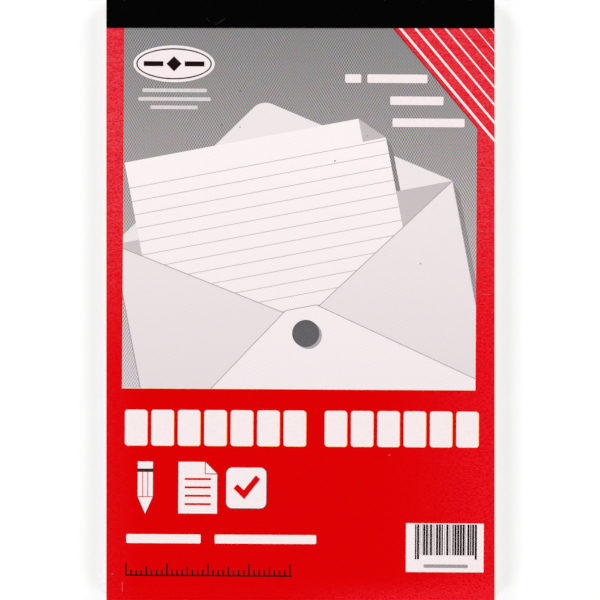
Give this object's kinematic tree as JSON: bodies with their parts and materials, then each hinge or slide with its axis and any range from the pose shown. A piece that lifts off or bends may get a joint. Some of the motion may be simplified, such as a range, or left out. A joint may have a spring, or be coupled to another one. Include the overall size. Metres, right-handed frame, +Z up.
{
  "type": "legal pad",
  "caption": "Top-bound writing pad: ruled sheets glued at the head, folded tape binding, chipboard back and a printed cover that folds up and over.",
  "frame": {"origin": "middle of the pad's outline, on the surface that it lies on", "axes": "+Y towards the taped head edge, +X to the right of the page, +Z up out of the front cover"},
  "size_m": [0.1484, 0.2302, 0.0087],
  "materials": {
    "cover_paper": "satin",
    "writing_paper": "matte",
    "chipboard": "matte",
    "padding_glue": "satin",
    "tape_paper": "matte"
  },
  "bodies": {
    "pad": {"sheet_block": "writing_paper", "backing_board": "chipboard", "glue_film": "padding_glue", "binding_tape": "tape_paper", "cover_head_strip": "cover_paper"},
    "cover": {"front_cover": "cover_paper"}
  },
  "joints": [
    {"name": "cover_hinge", "type": "hinge", "parent": "pad", "child": "cover", "pos_m": [0, 0.10399, 0.00871], "axis": [-1, 0, 0], "range_deg": [0, 179]}
  ]
}
